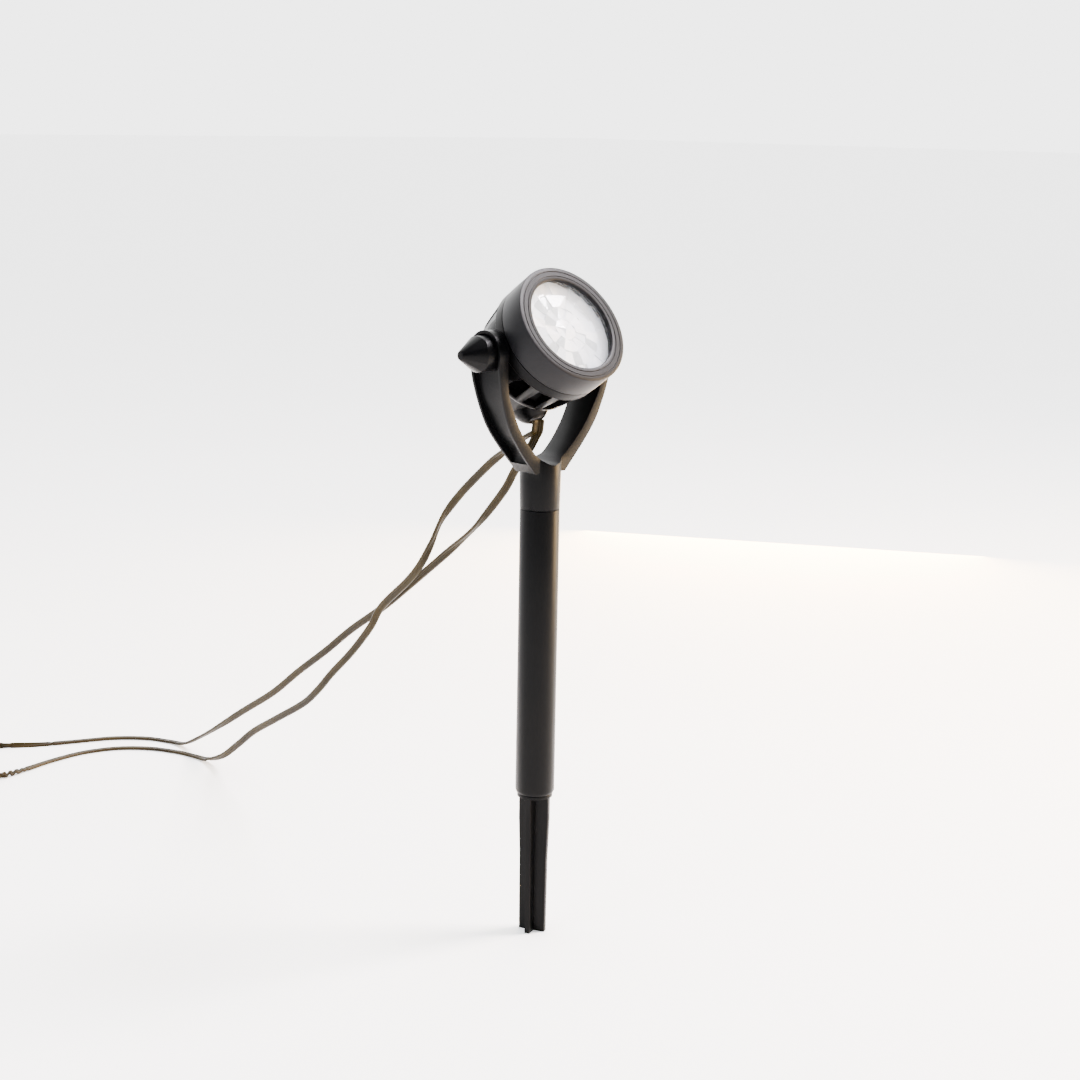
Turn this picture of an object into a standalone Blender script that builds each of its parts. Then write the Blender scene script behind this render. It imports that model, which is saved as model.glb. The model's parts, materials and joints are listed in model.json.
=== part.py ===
"""A light projector on a ground stake: a tilting lamp head in a forked yoke, on a tube with a
ribbed spike, with two flat cords. Metres, +Z up. The origin is on the stake's axis at the
soil surface, +X runs along the pivot axis, and the lamp faces -Y and up."""

import math

import bmesh
import bpy
from mathutils import Matrix, Vector

MM = 0.001
GAP = 0.3 * MM

# Stake, heights above the soil
SPIKE_TIP = -105 * MM
TUBE_BOTTOM = 93.5 * MM
SEAM = 278 * MM
PIVOT = 377.2 * MM
TUBE_RADIUS = 12.5 * MM
TUBE_BORE = 11.0 * MM
PLUG_RADIUS = 10.7 * MM
RIB_THICK = 3.4 * MM
SPIKE_TURN = 22
NOTCH_TURN = 202

# Fork, measured from the pivot axis
SOCKET_RADIUS = 12.9 * MM
BOSS_RADIUS = 13.9 * MM
WEB = 2.4 * MM
FLANGE = 1.8 * MM

# Lamp head, along its own axis from the pivot
TILT = 34.3
BEZEL_RADIUS = 39 * MM
BEZEL_FACE = 30.8 * MM
BEZEL_BACK = 12.7 * MM
LIP_RADIUS = 30.2 * MM
BEZEL_BORE = 36.9 * MM
SIDE_TAB_RADIUS = 38.7 * MM
POCKET_COUNT = 10
FIRST_POCKET = 37.3
POCKET_PITCH = 23.5
POCKET_WIDTH = 9.4 * MM
POCKET_FLOOR = 29.7 * MM
BALL_RADIUS = 12 * MM
BALL_BACK = 29.2 * MM
BALL_DROP = 23.7 * MM
CORD_BACK = 28.0 * MM
MOUTH_RADIUS = 5.6 * MM
GROMMET_FACE = 33.5 * MM
LED_COUNT = 6
LED_RING = 21 * MM
SCREW_RING = 31.6 * MM

# Knobs
KNOB_RADIUS = 11 * MM
KNOB_BASE = 43.6 * MM
KNOB_TIP = 67.8 * MM
STUD_RADIUS = 2.0 * MM

# Cords
CORD_RADIUS = 1.9 * MM
CORD_SPACING = 4.3 * MM
TIE_WALL = 1.2 * MM
COIL_RADIUS = 28 * MM
COIL_HEIGHT = 6.2 * MM
SUPPLY_COIL = (-141 * MM, 526 * MM, 0)
LINK_COIL = (-108 * MM, 605 * MM, 0)
JOIN_TURN = -60
LEAVE_TURN = 200
TIE_TURN = 60
ENTRY_HEIGHT = 6.2 * MM


def clear_scene():
    for thing in list(bpy.data.objects):
        bpy.data.objects.remove(thing, do_unlink=True)


def new_collection(name):
    collection = bpy.data.collections.new(name)
    bpy.context.scene.collection.children.link(collection)
    return collection


def material(name, colour, roughness, metallic=0.0, transmission=0.0):
    made = bpy.data.materials.new(name)
    made.use_nodes = True
    shader = made.node_tree.nodes["Principled BSDF"]
    shader.inputs["Base Color"].default_value = (*colour, 1)
    shader.inputs["Roughness"].default_value = roughness
    shader.inputs["Metallic"].default_value = metallic
    shader.inputs["Transmission Weight"].default_value = transmission
    made.diffuse_color = (*colour, 1)
    return made


clear_scene()
PARTS = new_collection("light_projector_stake")
CUTTERS = new_collection("cutters")


def empty(name, location, rotation=(0, 0, 0)):
    frame = bpy.data.objects.new(name, None)
    frame.location = location
    frame.rotation_euler = rotation
    PARTS.objects.link(frame)
    return frame


def finish(thing, finish_material, parent=None):
    """Files a part's object under its collection, material and parent."""
    for collection in list(thing.users_collection):
        collection.objects.unlink(thing)
    PARTS.objects.link(thing)
    thing.data.materials.clear()
    thing.data.materials.append(finish_material)
    thing.parent = parent
    if thing.type == "MESH":
        thing.data.shade_smooth()
        thing.data.set_sharp_from_angle(angle=math.radians(35))
    return thing


def as_cutter(thing, parent=None):
    for collection in list(thing.users_collection):
        collection.objects.unlink(thing)
    CUTTERS.objects.link(thing)
    thing.parent = parent
    thing.hide_render = True
    thing.display_type = "WIRE"
    return thing


def boolean(target, tool, operation="DIFFERENCE"):
    step = target.modifiers.new(operation.lower() + "_" + tool.name, "BOOLEAN")
    step.operation = operation
    step.solver = "EXACT"
    step.object = tool
    return target


def triangulate(thing):
    """Splits every face, so that no long flat face bends where the next cut meets it."""
    thing.modifiers.new("triangles", "TRIANGULATE")
    return thing


def mesh_object(name, build):
    """An object whose mesh is filled by build(bm)."""
    mesh = bpy.data.meshes.new(name)
    bm = bmesh.new()
    build(bm)
    bm.to_mesh(mesh)
    bm.free()
    return bpy.data.objects.new(name, mesh)


def turned(name, profile, steps=36, ring=False):
    """A solid turned about its own Z from (radius, height) points, outer side downwards.
    A ring's profile closes on itself; the others start and end on the axis."""

    def build(bm):
        points = [bm.verts.new((r, 0, z)) for r, z in profile]
        for first, second in zip(points, points[1:]):
            bm.edges.new((first, second))
        if ring:
            bm.edges.new((points[-1], points[0]))

    made = mesh_object(name, build)
    screw = made.modifiers.new("turn", "SCREW")
    screw.axis = "Z"
    screw.steps = steps
    screw.render_steps = steps
    screw.use_merge_vertices = True
    screw.merge_threshold = 0.00001
    screw.use_smooth_shade = False
    return made


def cylinder(name, radius, low, high, axis="Z", sides=32, centre=(0, 0, 0), top_radius=None):
    """A cylinder or cone along one axis from low to high."""
    turn = {"Z": Matrix(), "X": Matrix.Rotation(math.pi / 2, 4, "Y"),
            "Y": Matrix.Rotation(-math.pi / 2, 4, "X")}[axis]
    middle = Matrix.Translation((0, 0, (low + high) / 2))
    end_radius = radius if top_radius is None else top_radius

    def build(bm):
        bmesh.ops.create_cone(bm, cap_ends=True, segments=sides, radius1=radius,
                              radius2=end_radius, depth=high - low,
                              matrix=Matrix.Translation(centre) @ turn @ middle)

    return mesh_object(name, build)


def box(name, low, high, rounded=0.0):
    size = [b - a for a, b in zip(low, high)]
    centre = [(a + b) / 2 for a, b in zip(low, high)]

    def build(bm):
        place = Matrix.Translation(centre) @ Matrix.Diagonal((*size, 1))
        bmesh.ops.create_cube(bm, size=1, matrix=place)

    made = mesh_object(name, build)
    if rounded:
        bevel = made.modifiers.new("rounded", "BEVEL")
        bevel.width = rounded
        bevel.segments = 3
        bevel.limit_method = "NONE"
    return made


def plate(name, outline, low, high, plane="XZ", corners=(), resolution=3):
    """A flat outline drawn as a 2D curve, thickened from low to high across its plane.
    Points listed in corners stay sharp; the others are rounded through."""
    curve = bpy.data.curves.new(name, "CURVE")
    curve.dimensions = "2D"
    curve.fill_mode = "BOTH"
    curve.extrude = (high - low) / 2
    curve.resolution_u = resolution
    spline = curve.splines.new("BEZIER")
    spline.bezier_points.add(len(outline) - 1)
    for index, (point, (across, up)) in enumerate(zip(spline.bezier_points, outline)):
        point.co = (across, up, 0)
        kind = "VECTOR" if index in corners else "AUTO"
        point.handle_left_type = kind
        point.handle_right_type = kind
    spline.use_cyclic_u = True
    drawn = bpy.data.objects.new(name + "_outline", curve)
    bpy.context.scene.collection.objects.link(drawn)
    bpy.context.view_layer.update()
    evaluated = drawn.evaluated_get(bpy.context.evaluated_depsgraph_get())
    mesh = bpy.data.meshes.new_from_object(evaluated)
    bpy.data.objects.remove(drawn)
    bm = bmesh.new()
    bm.from_mesh(mesh)
    bmesh.ops.remove_doubles(bm, verts=bm.verts, dist=0.00001)
    middle = (low + high) / 2
    turns = {"XZ": Matrix.Rotation(math.pi / 2, 4, "X"),
             "YZ": Matrix.Rotation(math.pi / 2, 4, "Z") @ Matrix.Rotation(math.pi / 2, 4, "X"),
             "XY": Matrix()}
    shift = {"XZ": (0, middle, 0), "YZ": (middle, 0, 0), "XY": (0, 0, middle)}[plane]
    bmesh.ops.transform(bm, matrix=Matrix.Translation(shift) @ turns[plane], verts=bm.verts)
    bmesh.ops.recalc_face_normals(bm, faces=bm.faces)
    bm.to_mesh(mesh)
    bm.free()
    mesh.name = name
    return bpy.data.objects.new(name, mesh)


def smooth_line(points, spacing):
    """Points along a smooth curve through the given ones, closer together near its start."""
    ends = [points[0] * 2 - points[1], *points, points[-1] * 2 - points[-2]]
    dense = []
    for i in range(1, len(ends) - 2):
        a, b, c, d = ends[i - 1 : i + 3]
        for k in range(24):
            t = k / 24
            dense.append(0.5 * (2 * b + (c - a) * t + (2 * a - 5 * b + 4 * c - d) * t * t
                                + (3 * b - a - 3 * c + d) * t**3))
    dense.append(points[-1])
    line = [dense[0]]
    since = 0.0
    run = 0.0
    for p, q in zip(dense, dense[1:]):
        since += (q - p).length
        run += (q - p).length
        if since >= min(spacing, spacing / 9 + run / 4):
            line.append(q)
            since = 0.0
    if since < spacing / 20:
        line.pop()
    return [*line, dense[-1]]


def tube(name, route, radius, finish_material, parent=None):
    """A cord or wire: a POLY spline read from the smooth curve through its route."""
    curve = bpy.data.curves.new(name, "CURVE")
    curve.dimensions = "3D"
    curve.bevel_depth = radius
    curve.bevel_resolution = 2
    curve.use_fill_caps = True
    points = smooth_line([Vector(p) for p in route], radius * 5.6)
    spline = curve.splines.new("POLY")
    spline.points.add(len(points) - 1)
    for point, place in zip(spline.points, points):
        point.co = (*place, 1)
    made = bpy.data.objects.new(name, curve)
    return finish(made, finish_material, parent)


def in_mm(points):
    return [tuple(value * MM for value in point) for point in points]


BLACK_PLASTIC = material("black_plastic", (0.024, 0.024, 0.027), 0.5)
BEZEL_PLASTIC = material("bezel_plastic", (0.06, 0.06, 0.066), 0.5)
CLEAR_PLASTIC = material("clear_plastic", (0.95, 0.96, 0.97), 0.05, transmission=1.0)
FACET_PLASTIC = material("facet_plastic", (0.85, 0.87, 0.9), 0.1, transmission=0.7)
RUBBER = material("rubber", (0.015, 0.015, 0.015), 0.8)
STEEL = material("steel", (0.55, 0.55, 0.56), 0.35, metallic=1.0)
BRASS = material("brass", (0.72, 0.53, 0.25), 0.35, metallic=1.0)
ALUMINIUM = material("aluminium", (0.75, 0.76, 0.78), 0.4, metallic=1.0)
BOARD_GREEN = material("board_green", (0.03, 0.2, 0.08), 0.5)
WHITE_PLASTIC = material("white_plastic", (0.82, 0.83, 0.84), 0.35)
CORD_PVC = material("cord_pvc", (0.13, 0.11, 0.075), 0.45)
TIE_PVC = material("tie_pvc", (0.02, 0.02, 0.02), 0.5)


def ground_spike():
    """Two crossed tapering ribs, a collar under the tube and a plug inside it."""
    ribs = in_mm([(10.1, 91.6), (10.1, 76), (9.2, 50), (8.9, 0), (8.4, -55), (6.2, -80)])
    ribs = [*ribs, (1.9 * MM, SPIKE_TIP)]
    outline = [*ribs, *mirrored(ribs)]
    half = RIB_THICK / 2
    corners = range(len(outline))
    spike = plate("ground_spike", outline, -half, half, corners=corners)
    crossing = plate("spike_cross_rib", outline, -half, half, plane="YZ", corners=corners)
    boolean(spike, as_cutter(crossing), "UNION")
    collar = TUBE_BOTTOM - GAP
    plug = turned("spike_plug", [(0, 120 * MM), (9.6 * MM, 120 * MM), (PLUG_RADIUS, 117 * MM),
                                 (PLUG_RADIUS, collar), (11.3 * MM, collar), (11.3 * MM, 91 * MM),
                                 (0, 91 * MM)])
    boolean(spike, as_cutter(plug), "UNION")
    for thing in (spike, crossing, plug):
        thing.rotation_euler = (0, 0, math.radians(SPIKE_TURN))
    finish(spike, BLACK_PLASTIC)


def stake_tube():
    top = SEAM - GAP
    profile = [(TUBE_BORE, top), (TUBE_RADIUS - 0.3 * MM, top), (TUBE_RADIUS, top - 0.3 * MM),
               (TUBE_RADIUS, TUBE_BOTTOM + 2.2 * MM), (TUBE_RADIUS - 0.8 * MM, TUBE_BOTTOM),
               (TUBE_BORE, TUBE_BOTTOM)]
    finish(turned("stake_tube", profile, ring=True), BLACK_PLASTIC)


def inner_profile():
    """Inner edge of one fork arm from its top to the saddle, as (x, z) from the pivot."""
    return in_mm([(40.5, 14), (40.5, -8), (39.0, -24), (33.4, -37), (28.2, -46.4), (23.2, -53.2),
                  (16.3, -60.8), (9.2, -66.8)])


def outer_profile():
    """Outer edge of one fork arm from its top to the socket, as (x, z) from the pivot."""
    return in_mm([(48.2, 14), (48.2, -3), (47.0, -13), (45.0, -22.5), (41.8, -33), (36.0, -46.5),
                  (27.6, -58.5), (21.0, -66.5), (15.6, -72.5), (12.6, -75.8)])


def side_profile(inset):
    """Outline of the arms seen along the pivot axis: round boss, narrowing to the foot."""
    sides = [(12.9, -15.3), (12.4, -21.8), (11.7, -32), (10.8, -45), (9.9, -57), (9.3, -65)]
    low = [(y * MM - inset, z * MM + inset / 4) for y, z in sides]
    radius = BOSS_RADIUS - inset
    boss = [(radius * math.cos(math.radians(a)), radius * math.sin(math.radians(a)))
            for a in range(-20, 201, 20)]
    return low, boss


def web_profile():
    """The floor of an arm's channel: the inner edge moved outwards by the web's thickness."""
    points = [Vector(p) for p in inner_profile()]
    moved = []
    for i, point in enumerate(points[1:-1], 1):
        along = (points[i + 1] - points[i - 1]).normalized()
        moved.append(tuple(point + Vector((-along.y, along.x)) * WEB))
    return moved


def mirrored(points):
    return [(-a, b) for a, b in reversed(points)]


def fork_body():
    """The yoke before it is hollowed: its front outline crossed with its side outline."""
    half = outer_profile()
    outline = [*half, *mirrored(half)]
    count = len(half)
    corners = [0, count - 1, count, 2 * count - 1]
    body = plate("fork", outline, -20 * MM, 20 * MM, corners=corners, resolution=4)
    low, boss = side_profile(0)
    foot_side = [(8.9 * MM, -75.2 * MM), (8.9 * MM, -82 * MM)]
    side = [*boss, *mirrored([*foot_side[::-1], *low[::-1]]), *foot_side[::-1], *low[::-1]]
    corners = [len(boss) + len(low) + 1, len(boss) + len(low) + 2]
    sides = plate("fork_side", side, -60 * MM, 60 * MM, plane="YZ", corners=corners, resolution=2)
    return triangulate(boolean(body, as_cutter(sides), "INTERSECT"))


def saddle_cutter():
    """The open space between the arms, down to the saddle."""
    half = [(40.5 * MM, 20 * MM), *inner_profile()[1:]]
    outline = [*half, (0, -71 * MM), *mirrored(half)]
    corners = [0, len(outline) - 1]
    return as_cutter(plate("fork_saddle", outline, -30 * MM, 30 * MM, corners=corners, resolution=4))


def channel_cutter(name, sign):
    """The hollow on the outside of one arm, open outwards, with the knob's seat at its top."""
    web = web_profile()
    outline = [(web[0][0], 20 * MM), *web, (16.5 * MM, -65.5 * MM), (16.5 * MM, -69.5 * MM),
               (60 * MM, -69.5 * MM), (60 * MM, 20 * MM)]
    count = len(outline)
    corners = [0, *range(count - 4, count)]
    outline = [(sign * x, z) for x, z in outline]
    cutter = plate(name, outline, -20 * MM, 20 * MM, corners=corners)
    low, boss = side_profile(FLANGE)
    foot = [(9.0 * MM - FLANGE, -72 * MM)]
    side = [*boss, *mirrored([*foot[::-1], *low[::-1]]), *foot[::-1], *low[::-1]]
    corners = [len(boss) + len(low), len(boss) + len(low) + 1]
    sides = plate(name + "_side", side, -70 * MM, 70 * MM, plane="YZ", corners=corners)
    return triangulate(boolean(as_cutter(cutter), as_cutter(sides), "INTERSECT"))


def fork():
    body = fork_body()
    socket = turned("fork_socket", [(0, -62 * MM), (SOCKET_RADIUS, -62 * MM),
                                    (SOCKET_RADIUS, -80 * MM), (TUBE_RADIUS, SEAM - PIVOT),
                                    (PLUG_RADIUS, SEAM - PIVOT), (PLUG_RADIUS, -127 * MM),
                                    (9.8 * MM, -129 * MM), (0, -129 * MM)])
    boolean(body, as_cutter(socket), "UNION")
    boolean(body, saddle_cutter())
    for name, sign in (("left_channel", -1), ("right_channel", 1)):
        boolean(body, channel_cutter(name, sign))
    bore = cylinder("fork_bore", 2.5 * MM, -60 * MM, 60 * MM, axis="X", sides=24)
    boolean(body, as_cutter(bore))
    hollow = cylinder("spigot_hollow", 8.7 * MM, -140 * MM, -86 * MM)
    boolean(body, as_cutter(hollow))
    notch = cylinder("seam_notch", 1.9 * MM, TUBE_RADIUS - 0.7 * MM, 20 * MM, axis="X", sides=4,
                     centre=(0, 0, SEAM - PIVOT))
    notch.rotation_euler = (0, 0, math.radians(NOTCH_TURN))
    boolean(body, as_cutter(notch))
    for thing in [body, *CUTTERS.objects]:
        if thing.name.startswith(("fork", "left_channel", "right_channel", "spigot", "seam")):
            thing.location.z = PIVOT
    finish(body, BLACK_PLASTIC)


def knob(side, sign):
    """A round knob with four slanting flats, its stud, and the washer behind its arm."""
    outwards = (0, sign * math.pi / 2, 0)
    place = (0, 0, PIVOT)
    body = turned(side + "_knob", [(0, KNOB_TIP), (2.4 * MM, KNOB_TIP), (2.9 * MM, KNOB_TIP - 0.4 * MM),
                                   (KNOB_RADIUS, 54.8 * MM), (KNOB_RADIUS, KNOB_BASE + 0.5 * MM),
                                   (KNOB_RADIUS - 0.5 * MM, KNOB_BASE), (0, KNOB_BASE)], steps=40)
    flats = cylinder(side + "_knob_flats", 16.3 * MM * math.sqrt(2), 45 * MM, KNOB_TIP + MM, sides=4,
                     top_radius=2.05 * MM * math.sqrt(2))
    block = cylinder(side + "_knob_block", 30 * MM, 40 * MM, 50 * MM, sides=24)
    boolean(as_cutter(flats), as_cutter(block), "UNION")
    bore = cylinder(side + "_knob_bore", STUD_RADIUS + GAP, 40 * MM, 54 * MM, sides=24)
    boolean(body, flats, "INTERSECT")
    boolean(body, as_cutter(bore))
    for thing in (body, flats, block, bore):
        thing.rotation_euler = outwards
        thing.location = place
    finish(body, BLACK_PLASTIC)
    stud = turned(side + "_stud", [(0, 53.5 * MM), (STUD_RADIUS, 53.5 * MM), (STUD_RADIUS, 31 * MM),
                                   (1.5 * MM, 30.4 * MM), (0, 30.4 * MM)], steps=20)
    washer = turned(side + "_washer", [(2.5 * MM, 40.2 * MM), (9 * MM, 40.2 * MM), (9 * MM, 39.2 * MM),
                                       (2.5 * MM, 39.2 * MM)], steps=32, ring=True)
    for thing, finish_material in ((stud, STEEL), (washer, RUBBER)):
        thing.rotation_euler = outwards
        thing.location = place
        finish(thing, finish_material)


def head_frame():
    """Local Z runs out through the lens, local Y up the head's back, local X along the pivot."""
    return empty("head_frame", (0, 0, PIVOT), (math.radians(90 - TILT), 0, 0))


def front_bezel(head):
    face = BEZEL_FACE
    groove = 0.4 * MM
    profile = [(LIP_RADIUS, face - groove), (LIP_RADIUS + groove, face), (32.5 * MM, face),
               (32.5 * MM, face - groove), (33.0 * MM, face - groove), (33.0 * MM, face),
               (35.7 * MM, face), (35.7 * MM, face - groove), (36.2 * MM, face - groove),
               (36.2 * MM, face), (38.5 * MM, face), (BEZEL_RADIUS, face - 0.5 * MM),
               (BEZEL_RADIUS, BEZEL_BACK), (BEZEL_BORE, BEZEL_BACK), (BEZEL_BORE, 28.2 * MM),
               (LIP_RADIUS, 28.2 * MM)]
    finish(turned("front_bezel", profile, steps=44, ring=True), BEZEL_PLASTIC, head)


def window_stack(head):
    """Gasket, clear window and spacer ring behind the bezel's lip."""
    gasket = turned("window_gasket", in_mm([(31.5, 27.9), (36.4, 27.9), (36.4, 27.3), (31.5, 27.3)]),
                    steps=32, ring=True)
    finish(gasket, RUBBER, head)
    window = turned("cover_window", in_mm([(0, 27.0), (36.2, 27.0), (36.5, 26.7), (36.5, 25.5),
                                           (0, 25.5)]), steps=40)
    finish(window, CLEAR_PLASTIC, head)
    spacer = turned("window_spacer", in_mm([(34.9, 25.2), (36.5, 25.2), (36.5, 22.6), (34.9, 22.6)]),
                    steps=32, ring=True)
    finish(spacer, BLACK_PLASTIC, head)
    seal = []
    for angle in range(0, 360, 60):
        turn = math.radians(angle)
        seal.append((36.0 * MM + 0.75 * MM * math.cos(turn), 18 * MM - 0.75 * MM * math.sin(turn)))
    finish(turned("bezel_seal", seal, steps=32, ring=True), RUBBER, head)


def pattern_wheel(head):
    """The faceted lens, its hub and the shaft that turns it."""
    lens = turned("pattern_lens", in_mm([(0, 25.1), (10.5, 24.9), (22, 24.5), (33.0, 23.7), (33.6, 23.1),
                                         (33.6, 20.8), (0, 20.8)]), steps=24)
    finish(lens, FACET_PLASTIC, head)
    hub = turned("lens_hub", in_mm([(0, 20.5), (6, 20.5), (6, 19.3), (3.2, 18.6), (3.2, 15.5), (1.8, 15.5),
                                    (1.8, 18.8), (0, 18.8)]), steps=24)
    finish(hub, WHITE_PLASTIC, head)
    shaft = turned("drive_shaft", in_mm([(0, 18.5), (1.5, 18.5), (1.5, 2.3), (0, 2.3)]), steps=16)
    finish(shaft, STEEL, head)


def light_engine(head):
    """Board, LEDs, heat spreader, reflector and motor inside the housing."""
    spreader = turned("heat_spreader", in_mm([(3.6, 10.3), (33.8, 10.3), (33.8, 9.3), (3.6, 9.3)]), steps=32,
                      ring=True)
    board = turned("led_board", in_mm([(3.6, 12.2), (33.8, 12.2), (33.8, 10.6), (3.6, 10.6)]), steps=32,
                   ring=True)
    motor = turned("drive_motor", in_mm([(0, 2), (2.0, 2), (2.0, 11.5), (3.2, 11.5), (3.2, 9.0), (13, 9.0),
                                         (13, -4), (0, -4)]), steps=32)
    for index in range(3):
        angle = math.radians(45 + 120 * index)
        place = (SCREW_RING * math.cos(angle), SCREW_RING * math.sin(angle), 0)
        hole = cylinder(f"board_hole_{index + 1}", 1.4 * MM, 7.2 * MM, 14 * MM, sides=12, centre=place)
        for target in (spreader, board):
            boolean(target, as_cutter(hole, head))
        screw = turned(f"board_screw_{index + 1}", in_mm([(0, 14.0), (1.3, 13.8), (1.6, 12.5), (1.1, 12.5),
                                                          (1.1, 7.5), (0, 7.5)]), steps=12)
        screw.location = place
        finish(screw, STEEL, head)
    for index, side in enumerate((-1, 1)):
        place = (side * 9 * MM, 0, 0)
        hole = cylinder(f"motor_hole_{index + 1}", 1.4 * MM, 4 * MM, 14 * MM, sides=12, centre=place)
        for target in (spreader, board, motor):
            boolean(target, as_cutter(hole, head))
        screw = turned(f"motor_screw_{index + 1}", in_mm([(0, 14.0), (2.2, 13.8), (2.4, 12.5), (1.1, 12.5),
                                                          (1.1, 4.3), (0, 4.3)]), steps=12)
        screw.location = place
        finish(screw, STEEL, head)
    for index, side in enumerate((-1, 1)):
        place = (side * 2.5 * MM, 17 * MM, 0)
        hole = cylinder(f"wire_hole_{index + 1}", 1.4 * MM, 8 * MM, 10.4 * MM, sides=12, centre=place)
        boolean(spreader, as_cutter(hole, head))
        route = [(place[0], place[1], z * MM) for z in (-14.7, -6, 2, 10.2)]
        tube(f"lamp_wire_{index + 1}", route, 0.7 * MM, RUBBER, head)
    finish(spreader, ALUMINIUM, head)
    finish(board, WHITE_PLASTIC, head)
    finish(motor, STEEL, head)
    reflector = turned("reflector", in_mm([(28.4, 12.6), (28.6, 15), (33.0, 19.8), (33.9, 19.8), (29.7, 15),
                                        (29.6, 12.6)]), steps=32, ring=True)
    finish(reflector, WHITE_PLASTIC, head)
    for index in range(LED_COUNT):
        angle = math.radians(30 + 360 / LED_COUNT * index)
        led = turned(f"led_{index + 1}", in_mm([(0, 16.0), (1.3, 15.7), (2.3, 14.9), (2.8, 13.9),
                                               (3.0, 12.5), (0, 12.5)]), steps=16)
        led.location = (LED_RING * math.cos(angle), LED_RING * math.sin(angle), 0)
        finish(led, CLEAR_PLASTIC, head)


def driver(head):
    """The round driver board on the housing's lower shoulder, and what stands on it."""
    board = turned("driver_board", in_mm([(0, -15.1), (26.8, -15.1), (26.8, -16.7), (0, -16.7)]))
    finish(board, BOARD_GREEN, head)
    can = turned("capacitor", in_mm([(0, -5.6), (3.6, -5.6), (4, -6.0), (4, -14.8), (0, -14.8)]), steps=20)
    can.location = (-13 * MM, -13 * MM, 0)
    finish(can, ALUMINIUM, head)
    choke = box("choke", in_mm([(9, -17, -14.8)])[0], in_mm([(18, -8, -7.5)])[0], rounded=0.6 * MM)
    finish(choke, RUBBER, head)


def pocket_cutter(head, index):
    """One recess between two ribs of the housing, under its front flange."""
    name = f"pocket_{index + 1}"
    half = POCKET_WIDTH / 2
    cutter = box(name, (POCKET_FLOOR, -half, -13.5 * MM), (48 * MM, half, 5.0 * MM))
    first = FIRST_POCKET + 180 * (index // 5)
    cutter.rotation_euler = (0, 0, math.radians(first + POCKET_PITCH * (index % 5)))
    return as_cutter(cutter, head)


def side_tab(name, sign, head):
    """The part of the flange that reaches back over the pivot, round-cornered."""
    half = 20 * MM
    low = -5.5 * MM
    corner = 8 * MM
    bend = []
    for angle in range(0, 91, 15):
        turn = math.radians(angle)
        bend.append((half - corner + corner * math.cos(turn), low + corner - corner * math.sin(turn)))
    outline = [(half, 11.5 * MM), *bend, *mirrored(bend), (-half, 11.5 * MM)]
    ends = sorted((sign * 26 * MM, sign * 45 * MM))
    tab = plate(name, outline, *ends, plane="YZ", corners=range(len(outline)))
    rim = turned(name + "_rim", [(0, 14 * MM), (SIDE_TAB_RADIUS, 14 * MM), (SIDE_TAB_RADIUS, -8 * MM),
                                 (0, -8 * MM)], steps=44)
    return boolean(as_cutter(tab, head), as_cutter(rim, head), "INTERSECT")


def rear_housing(head):
    outside = in_mm([(0, 22.3), (36.3, 22.3), (36.6, 22.0), (36.6, 19.0), (35.1, 19.0), (35.1, 17.0),
                     (36.6, 17.0), (36.6, 12.3), (38.6, 12.3), (38.9, 12.0), (38.9, 5.4), (38.4, 4.6),
                     (34.6, -15.8), (33.7, -17.4), (30.4, -19.0), (28.4, -30), (26.9, -34.2),
                     (23.4, -37.2), (0, -37.8)])
    housing = turned("rear_housing", outside, steps=44)
    for index in range(POCKET_COUNT):
        boolean(housing, pocket_cutter(head, index))

    def build_ball(bm):
        bmesh.ops.create_uvsphere(bm, u_segments=24, v_segments=14, radius=BALL_RADIUS,
                                  matrix=Matrix.Translation((0, -BALL_DROP, -BALL_BACK)))

    boolean(housing, as_cutter(mesh_object("ball", build_ball), head), "UNION")
    for name, sign in (("left_tab", -1), ("right_tab", 1)):
        boolean(housing, side_tab(name, sign, head), "UNION")
    core = turned("housing_core", in_mm([(0, 24), (34.2, 24), (34.2, 9.0), (27.5, 9.0), (27.5, -17),
                                         (22.5, -17), (22.5, -34.4), (0, -34.4)]), steps=40)
    boolean(housing, as_cutter(core, head))
    for name, sign in (("left", -1), ("right", 1)):
        ends = sorted((sign * 20 * MM, sign * 45 * MM))
        bore = cylinder(name + "_boss_bore", 2.4 * MM, *ends, axis="X", sides=16)
        ends = sorted((sign * 20 * MM, sign * 35 * MM))
        seat = cylinder(name + "_nut_seat", 4.6 * MM, *ends, axis="X", sides=16)
        boolean(housing, as_cutter(bore, head))
        boolean(housing, as_cutter(seat, head))
    cord_hole = cylinder("cord_hole", 4.3 * MM, -45 * MM, -10 * MM, axis="Y", sides=20,
                         centre=(0, 0, -CORD_BACK))
    mouth = cylinder("cord_mouth", MOUTH_RADIUS, -45 * MM, -29 * MM, axis="Y", sides=20,
                     centre=(0, 0, -CORD_BACK))
    boolean(housing, as_cutter(cord_hole, head))
    boolean(housing, as_cutter(mouth, head))
    for index in range(3):
        angle = math.radians(45 + 120 * index)
        place = (SCREW_RING * math.cos(angle), SCREW_RING * math.sin(angle), 0)
        hole = cylinder(f"screw_seat_{index + 1}", 1.4 * MM, 7.2 * MM, 14 * MM, sides=12, centre=place)
        boolean(housing, as_cutter(hole, head))
    finish(housing, BLACK_PLASTIC, head)


def pivot_nut(head, side, sign):
    nut = cylinder(side + "_nut", 4.1 * MM, *sorted((sign * 31.5 * MM, sign * 34.7 * MM)), axis="X", sides=6)
    bore = cylinder(side + "_nut_bore", STUD_RADIUS + 0.2 * MM, -40 * MM, 40 * MM, axis="X", sides=20)
    boolean(nut, as_cutter(bore, head))
    finish(nut, BRASS, head)


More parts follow.
